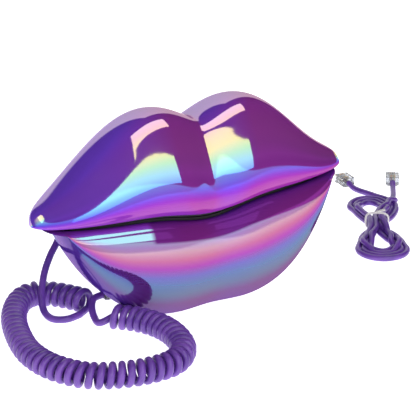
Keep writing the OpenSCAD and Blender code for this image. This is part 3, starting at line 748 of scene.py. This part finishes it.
base_lip.data.materials.append(lower_plating)
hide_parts("base_shell")
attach(base_lip, "base")

# ---------------------------------------------------------------- covers, plates and rubber
# Satin black ABS closes both shells: the handset's underside, the base's deck, its
# bottom plate and rear panel, and the jacks. Rubber strips and feet fill the joints.


def eased(names, width, material):
    """Each named part in its own finish, with edges sharper than 50 degrees rounded over."""
    for name in names:
        bm = bmesh.new()
        bm.from_mesh(frame["nodes"][name].data)
        bmesh.ops.remove_doubles(bm, verts=bm.verts, dist=1e-6)
        bmesh.ops.dissolve_limit(bm, angle_limit=math.radians(1.5), verts=bm.verts, edges=bm.edges)
        if width:
            hard = [e for e in bm.edges if len(e.link_faces) == 2
                and e.calc_face_angle(0) > math.radians(50)]
            bmesh.ops.bevel(bm, geom=hard, offset=width * mm, segments=2, profile=0.6,
                affect="EDGES", clamp_overlap=True)
        mesh = bpy.data.meshes.new(name + "_finished")
        bm.to_mesh(mesh)
        bm.free()
        for face in mesh.polygons:
            face.use_smooth = True
        mesh.set_sharp_from_angle(angle=math.radians(32))
        mesh.materials.append(material)
        obj = bpy.data.objects.new(name + "_finished", mesh)
        bpy.context.scene.collection.objects.link(obj)
        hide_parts(name)
        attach(obj, frame["nodes"][name]["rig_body"])


# ABS from a spark-eroded mould: an even fine grain, about 0.2 mm, drawn at 0.5 mm so it shows.
black_abs, tree = blank("black ABS spark grain")
place = add(tree, "TexCoord")
grain = add(tree, "TexNoise", {"Scale": 2000.0, "Detail": 2.0}, Vector=place.outputs["Object"])
wear = add(tree, "TexNoise", {"Scale": 60.0, "Detail": 3.0}, Vector=place.outputs["Object"])
tone = add(tree, "ValToRGB", Fac=wear.outputs["Fac"])
tone.color_ramp.elements[0].color, tone.color_ramp.elements[1].color = lin("0e0e11"), lin("1c1b21")
gloss = add(tree, "MapRange", {"To Min": 0.32, "To Max": 0.5}, Value=wear.outputs["Fac"])
relief = add(tree, "Bump", {"Strength": 0.25, "Distance": 0.00015}, Height=grain.outputs["Fac"])
abs_surface = add(tree, "BsdfPrincipled", {"IOR": 1.54}, Base_Color=tone.outputs["Color"],
    Roughness=gloss.outputs["Result"], Normal=relief.outputs["Normal"])
finish_surface(tree, abs_surface)
eased(["handset_under_cover", "base_top_plate", "base_bottom_plate", "base_rear_panel"], 0.35,
    black_abs)
eased(["handset_jack", "base_cord_jack", "line_jack", "hook_switch", "dialler_chip"], 0.2,
    black_abs)

# Nitrile rubber, pressed: matt and very dark, with a dusty bloom in patches of 8 mm.
rubber, tree = blank("nitrile rubber")
place = add(tree, "TexCoord")
bloom = add(tree, "TexNoise", {"Scale": 120.0, "Detail": 4.0}, Vector=place.outputs["Object"])
tone = add(tree, "ValToRGB", Fac=bloom.outputs["Fac"])
tone.color_ramp.elements[0].color, tone.color_ramp.elements[1].color = lin("111013"), lin("242227")
relief = add(tree, "Bump", {"Strength": 0.15, "Distance": 0.0002}, Height=bloom.outputs["Fac"])
matt = add(tree, "BsdfPrincipled", {"Roughness": 0.7, "IOR": 1.52}, Base_Color=tone.outputs["Color"],
    Normal=relief.outputs["Normal"])
finish_surface(tree, matt)
eased(["handset_seam_strip", "base_seam_strip"], 0, rubber)
eased(["earpiece_gasket", "microphone_boot", "base_feet"], 0.25, rubber)

# ---------------------------------------------------------------- keypad
# Twelve white keys and three purple ones, moulded ABS with a flange that keeps them in
# the cover. Digits are pad-printed in dark grey ink, and the purple keys carry pale bars.
key_size = (7.0, 8.5)
key_names = ["key_1", "key_2", "key_3", "key_4", "key_5", "key_6", "key_7", "key_8", "key_9",
    "key_star", "key_0", "key_hash", "key_redial", "key_flash", "key_mute"]
key_marks = ["1", "2", "3", "4", "5", "6", "7", "8", "9", "*", "0", "#", "", "", ""]
white_key_count = 12
purple_key_bars = {12: (-1, 0), 13: (0,), 14: (1,)}
digit_height, digit_relief = 5.6, 0.03


def moulded(name, dark, light, rough, ior, scale, strength):
    """Moulded plastic with a colour drift over 14 mm and a grain of 1000 / scale mm."""
    material, tree = blank(name)
    place = add(tree, "TexCoord")
    drift = add(tree, "TexNoise", {"Scale": 70.0, "Detail": 3.0}, Vector=place.outputs["Object"])
    tone = add(tree, "ValToRGB", Fac=drift.outputs["Fac"])
    tone.color_ramp.elements[0].color, tone.color_ramp.elements[1].color = lin(dark), lin(light)
    grain = add(tree, "TexNoise", {"Scale": scale, "Detail": 2.0}, Vector=place.outputs["Object"])
    relief = add(tree, "Bump", {"Strength": strength, "Distance": 0.00015}, Height=grain.outputs["Fac"])
    surface = add(tree, "BsdfPrincipled", {"Roughness": rough, "IOR": ior},
        Base_Color=tone.outputs["Color"], Normal=relief.outputs["Normal"])
    finish_surface(tree, surface)
    return material


white_abs = moulded("white ABS keys", "d8d4cd", "ece9e4", 0.38, 1.54, 1500.0, 0.1)
purple_abs = moulded("purple ABS keys", "4a2690", "6536b4", 0.34, 1.54, 1500.0, 0.1)
ink = moulded("pad printing ink", "2a2730", "3a3742", 0.55, 1.5, 900.0, 0.05)
pale_ink = moulded("pale printing ink", "d0c8de", "e6e0f0", 0.55, 1.5, 900.0, 0.05)
for index, (name, mark) in enumerate(zip(key_names, key_marks)):
    low, high = (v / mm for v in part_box(name))
    cx, cy = (low.x + high.x) / 2, (low.y + high.y) / 2
    hx, hy = key_size[0] / 2, key_size[1] / 2
    parts = [block([cx - hx, cy - hy, low.z + 0.05], [cx + hx, cy + hy, high.z - 0.7], 0.9),
        block([low.x, low.y, high.z - 0.9], [high.x, high.y, high.z], 0.15)]
    white = index < white_key_count
    key = solid(name + "_cap", parts, [white_abs if white else purple_abs])
    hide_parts(name)
    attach(key, name)
    if mark:
        text = bpy.data.curves.new(name + "_mark", "FONT")
        text.body, text.size, text.align_x, text.align_y = mark, digit_height, "CENTER", "CENTER"
        text.extrude = digit_relief
        drawn = bpy.data.objects.new(name + "_mark", text)
        bpy.context.scene.collection.objects.link(drawn)
        graph = bpy.context.evaluated_depsgraph_get()
        mesh = bpy.data.meshes.new_from_object(drawn.evaluated_get(graph))
        bpy.data.objects.remove(drawn)
        mesh.transform(Matrix(((0, 1, 0, cx), (1, 0, 0, cy), (0, 0, -1, low.z + 0.05), (0, 0, 0, 1))))
        mesh.transform(Matrix.Scale(mm, 4))
        digit = bpy.data.objects.new(name + "_print", mesh)
        bpy.context.scene.collection.objects.link(digit)
    else:
        bars = [block([cx - 0.5 + 1.5 * k, cy - 1.8, low.z], [cx + 0.1 + 1.5 * k, cy + 1.8,
            low.z + 0.25], 0.05) for k in purple_key_bars[index]]
        digit = solid(name + "_print", bars, [])
    digit.data.materials.clear()
    digit.data.materials.append(ink if white else pale_ink)
    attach(digit, name)

# The membrane behind the keys is silicone rubber, compression moulded: pale, slightly waxy.
silicone = moulded("silicone rubber", "b9b8b2", "d2d1cb", 0.5, 1.43, 300.0, 0.1)
eased(["keypad_membrane"], 0.3, silicone)

# ---------------------------------------------------------------- inside parts
# The receiver and microphone, weights, screws, spring, ringer, circuit boards and
# transformer. With the phone shut, only the slide switches show, in the rear panel.
receiver_abs = moulded("grey ABS receiver", "1c1c1f", "2b2b30", 0.55, 1.54, 1200.0, 0.2)
nylon = moulded("natural nylon", "dad7cc", "efede4", 0.42, 1.53, 800.0, 0.08)
tape = moulded("polyester tape", "b8922a", "d8b548", 0.3, 1.6, 120.0, 0.2)
eased(["earpiece"], 0.5, receiver_abs)
eased(["hook_plunger", "ringer_switch_knob", "dial_mode_knob"], 0.35, nylon)
eased(["line_transformer"], 0.6, tape)

# Zinc-plated steel, barrel plated: bright grey with a faint mottle of 2 mm.
zinc, tree = blank("zinc plated steel")
place = add(tree, "TexCoord")
mottle = add(tree, "TexVoronoi", {"Scale": 500.0}, Vector=place.outputs["Object"])
tone = add(tree, "MixRGB", {"Color1": lin("a9abb0"), "Color2": lin("c9cbd0")}, Fac=mottle.outputs["Distance"])
rough = add(tree, "MapRange", {"To Min": 0.25, "To Max": 0.4}, Value=mottle.outputs["Distance"])
plate = add(tree, "BsdfPrincipled", {"Metallic": 1.0}, Base_Color=tone.outputs["Color"],
    Roughness=rough.outputs["Result"])
finish_surface(tree, plate)
eased(["microphone", "handset_weight", "base_weight", "handset_screws", "base_screws",
    "slide_switches"], 0.25, zinc)

# Brass, turned or stamped and left bright: warm, its tone slightly uneven over 2.5 mm.
brass, tree = blank("turned brass")
place = add(tree, "TexCoord")
streak = add(tree, "TexNoise", {"Scale": 400.0, "Detail": 4.0}, Vector=place.outputs["Object"])
tone = add(tree, "ValToRGB", Fac=streak.outputs["Fac"])
tone.color_ramp.elements[0].color, tone.color_ramp.elements[1].color = lin("b08a45"), lin("d9b56c")
warm = add(tree, "BsdfPrincipled", {"Metallic": 1.0, "Roughness": 0.3}, Base_Color=tone.outputs["Color"])
finish_surface(tree, warm)
eased(["ringer", "board_standoffs"], 0.2, brass)

# Glass epoxy board under green solder mask: copper tracks show as paler lines, 1 to 2 mm apart.
board, tree = blank("glass epoxy board")
place = add(tree, "TexCoord")
tracks = add(tree, "TexBrick", {"Scale": 220.0, "Mortar Size": 0.03, "Color1": lin("14482c"),
    "Color2": lin("1a5434"), "Mortar": lin("3f8a5a")}, Vector=place.outputs["Object"])
mask = add(tree, "BsdfPrincipled", {"Roughness": 0.3, "IOR": 1.5}, Base_Color=tracks.outputs["Color"])
finish_surface(tree, mask)
eased(["keypad_board", "main_board"], 0, board)

# The hook spring: 0.9 mm spring steel wire, 8 turns, closed at both ends.
spring_x, spring_y, spring_foot, spring_mean_r, spring_rise = 48, 6, 40.95, 3.8, 10.6
spring_turns, closed_turns = 8, 0.8
spring_line = []
for a in np.linspace(0, 2 * math.pi * spring_turns, 257):
    risen = min(1, max(0, (a / (2 * math.pi) - closed_turns) / 6.4))
    spring_line.append([spring_x + spring_mean_r * math.cos(a), spring_y + spring_mean_r * math.sin(a),
        spring_foot + spring_rise * risen])
hook_spring = swept("hook_spring_wire", spring_line, 0.45, 8)
hook_spring.data.materials.append(zinc)
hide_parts("hook_spring")
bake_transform(hook_spring)

# ---------------------------------------------------------------- table and light
# A flat white table that glows, so that shadows on it stay faint, and three soft boxes:
# two in front, the upper one smaller, and a small one on the left.
table_half = 6
floor = solid("table", [], [])
bm = bmesh.new()
bmesh.ops.create_grid(bm, x_segments=1, y_segments=1, size=table_half)
bm.to_mesh(floor.data)
bm.free()
# White laminate: matt, with faint specks of 2.5 mm.
laminate, tree = blank("white laminate")
place = add(tree, "TexCoord")
speck = add(tree, "TexNoise", {"Scale": 400.0}, Vector=place.outputs["Object"])
tone = add(tree, "ValToRGB", Fac=speck.outputs["Fac"])
tone.color_ramp.elements[0].color, tone.color_ramp.elements[1].color = lin("f4f4f4"), lin("fafafa")
top = add(tree, "BsdfPrincipled", {"Roughness": 0.9, "Emission Color": [1, 1, 1, 1],
    "Emission Strength": 1.0}, Base_Color=tone.outputs["Color"])
finish_surface(tree, top)
floor.data.materials.append(laminate)

# The room is dark, with a bright wall behind that is narrow from side to side, and a
# sloping bright band low down in front. The camera itself sees plain white.
toward_wall, wall_side, band_slope = (0.38, 0.98, 0.3), (0.854, -0.521, 0.0), (0.45, 0.0, 1.0)
world = bpy.data.worlds.new("studio")
bpy.context.scene.world = world
world.use_nodes = True
tree = world.node_tree
tree.nodes.clear()
ray = add(tree, "LightPath")
toward = add(tree, "TexCoord").outputs["Generated"]
behind = add(tree, "VectorMath", {"operation": "DOT_PRODUCT", 1: toward_wall}, (toward,))
aside = add(tree, "VectorMath", {"operation": "DOT_PRODUCT", 1: wall_side}, (toward,))
off_wall = add(tree, "Math", {"operation": "ABSOLUTE"}, (aside.outputs["Value"],))
wall_glow = add(tree, "Math", {"operation": "MULTIPLY_ADD", 1: -0.85},
    (off_wall.outputs["Value"], None, behind.outputs["Value"]))
rear = add(tree, "MapRange", {"From Min": 0.5, "From Max": 0.56}, Value=wall_glow.outputs["Value"])
slope = add(tree, "VectorMath", {"operation": "DOT_PRODUCT", 1: band_slope}, (toward,))
low_band = add(tree, "MapRange", {"From Min": 0.38, "From Max": 0.42, "To Min": 0.9, "To Max": 0.0},
    Value=slope.outputs["Value"])
axes = add(tree, "SeparateXYZ", Vector=toward)
in_front = add(tree, "MapRange", {"From Min": 0.0, "From Max": 0.25, "To Min": 1.0, "To Max": 0.0},
    Value=axes.outputs["Y"])
front_band = add(tree, "Math", {"operation": "MULTIPLY"},
    (low_band.outputs["Result"], in_front.outputs["Result"]))
glow = add(tree, "Math", {"operation": "MAXIMUM"}, (rear.outputs["Result"], front_band.outputs["Value"]))
room = add(tree, "MixRGB", {"Color1": [0.035, 0.03, 0.05, 1], "Color2": [1.05, 1.05, 1.05, 1]},
    Fac=glow.outputs["Value"])
shown = add(tree, "MixRGB", {"Color2": [1, 1, 1, 1]}, Fac=ray.outputs["Is Camera Ray"],
    Color1=room.outputs["Color"])
sky = add(tree, "Background", Color=shown.outputs["Color"])
tree.links.new(sky.outputs[0], tree.nodes.new("ShaderNodeOutputWorld").inputs["Surface"])


lamp_distance, lamp_radiance, lamp_aim = 1.5, 2.0, 0.07


def soft_box(name, azimuth, elevation, width, height):
    """An area light that faces the phone. Azimuth 0 is in front, positive to the left."""
    light = bpy.data.lights.new(name, "AREA")
    light.shape, light.size, light.size_y = "RECTANGLE", width, height
    light.energy = lamp_radiance * math.pi * width * height
    a, e = math.radians(azimuth), math.radians(elevation)
    lamp = bpy.data.objects.new(name, light)
    spot = Vector((-math.sin(a) * math.cos(e), -math.cos(a) * math.cos(e), math.sin(e))) * lamp_distance
    lamp.location = spot + Vector((0, 0, lamp_aim))
    lamp.rotation_euler = spot.to_track_quat("Z", "Y").to_euler()
    lamp.visible_camera = False
    bpy.context.scene.collection.objects.link(lamp)


soft_box("front soft box", azimuth=3, elevation=29.5, width=1.8, height=0.62)
soft_box("upper soft box", azimuth=-15, elevation=58.2, width=1.45, height=0.57)
soft_box("left soft box", azimuth=88, elevation=42, width=0.26, height=0.24)

bpy.context.scene.view_settings.view_transform = "Standard"
